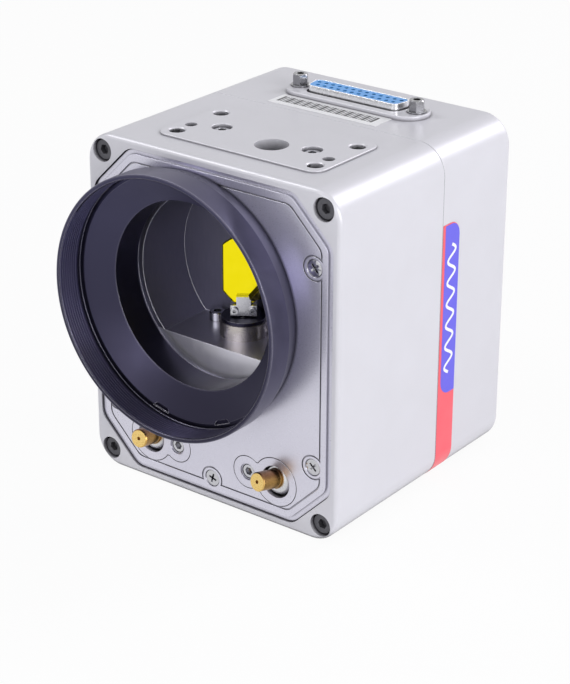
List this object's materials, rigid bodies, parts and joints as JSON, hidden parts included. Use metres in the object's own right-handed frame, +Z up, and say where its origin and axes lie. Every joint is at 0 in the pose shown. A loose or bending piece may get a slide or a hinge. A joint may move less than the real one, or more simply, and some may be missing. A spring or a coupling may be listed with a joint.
{
  "type": "galvo scanner head",
  "caption": "Boxy two-axis galvo scanner head with a threaded lens ring, swivelling laser pointers, two turning mirrors and a top connector.",
  "frame": {"origin": "middle of the bounding box on the surface that the head stands on", "axes": "-Y out of the lens ring, +Z up to the mounting pad and the beam entrance, +X to the right seen from the front"},
  "size_m": [0.1022, 0.1086, 0.1232],
  "materials": {
    "case_paint": "finely blasted and painted satin silver-grey",
    "plate_alu": "satin clear-anodised",
    "black_anodised": "black anodised, satin",
    "block_alu": "machined, matte grey",
    "black_steel": "black oxide",
    "screw_steel": "nickel-plated",
    "ball_steel": "turned",
    "brass": "turned",
    "can_steel": "turned stainless",
    "bearing_steel": "ground",
    "copper": "varnished winding",
    "magnet": "nickel-plated",
    "vane_plastic": "black",
    "clamp_alu": "machined, bright",
    "mirror_coat": "yellow dielectric coating",
    "board_green": "solder mask",
    "part_black": "moulded",
    "shell_steel": "tin-plated",
    "insulator_blue": "moulded",
    "gold": "gold flash",
    "label_white": "printed film, blank",
    "sticker_red": "printed film, blank"
  },
  "bodies": {
    "head": {"front_housing": "case_paint", "rear_cover": "case_paint", "housing_bolts": "black_steel", "front_plate": "plate_alu", "plate_screws": "screw_steel", "lens_ring": "black_anodised", "ring_screws": "black_steel", "pointer_carrier_left": "plate_alu", "pointer_carrier_right": "plate_alu", "ball_retainers": "black_anodised", "pointer_lock_screws": "black_steel", "scanner_block": "block_alu", "block_screws": "screw_steel", "motor_set_screws": "black_steel", "x_driver_board": "board_green", "y_driver_board": "board_green", "x_board_parts": "part_black", "y_board_parts": "part_black", "board_standoffs": "brass", "board_screws": "screw_steel", "connector_shell": "shell_steel", "connector_insulator": "insulator_blue", "connector_contacts": "gold", "jackscrews": "screw_steel", "top_label": "label_white", "side_sticker": "sticker_red", "x_motor_can": "can_steel", "x_coil": "copper", "x_bearings": "bearing_steel", "x_front_cover": "black_anodised", "x_detector_cap": "black_anodised", "y_motor_can": "can_steel", "y_coil": "copper", "y_bearings": "bearing_steel", "y_front_cover": "black_anodised", "y_detector_cap": "black_anodised"},
    "x_rotor": {"x_shaft": "bearing_steel", "x_magnet": "magnet", "x_detector_vane": "vane_plastic", "x_mirror_clamp": "clamp_alu", "x_clamp_screws": "screw_steel", "x_mirror": "mirror_coat"},
    "y_rotor": {"y_shaft": "bearing_steel", "y_magnet": "magnet", "y_detector_vane": "vane_plastic", "y_mirror_clamp": "clamp_alu", "y_clamp_screws": "screw_steel", "y_mirror": "mirror_coat"},
    "left_pointer": {"pointer_ball_left": "ball_steel", "pointer_left": "brass"},
    "right_pointer": {"pointer_ball_right": "ball_steel", "pointer_right": "brass"}
  },
  "joints": [
    {"name": "x_mirror_turn", "type": "hinge", "parent": "head", "child": "x_rotor", "pos_m": [0.00814, -0.01759, 0.0704], "axis": [0.309, 0.9511, 0], "range_deg": [-12.5, 12.5]},
    {"name": "y_mirror_turn", "type": "hinge", "parent": "head", "child": "y_rotor", "pos_m": [-0.00707, -0.01265, 0.0704], "axis": [0, 0, 1], "range_deg": [-12.5, 12.5]},
    {"name": "left_pointer_tilt", "type": "hinge", "parent": "head", "child": "left_pointer", "pos_m": [-0.02498, -0.03465, 0.0155], "axis": [1, 0, 0], "range_deg": [-3, 3]},
    {"name": "right_pointer_tilt", "type": "hinge", "parent": "head", "child": "right_pointer", "pos_m": [0.02683, -0.03465, 0.0155], "axis": [1, 0, 0], "range_deg": [-3, 3]}
  ]
}
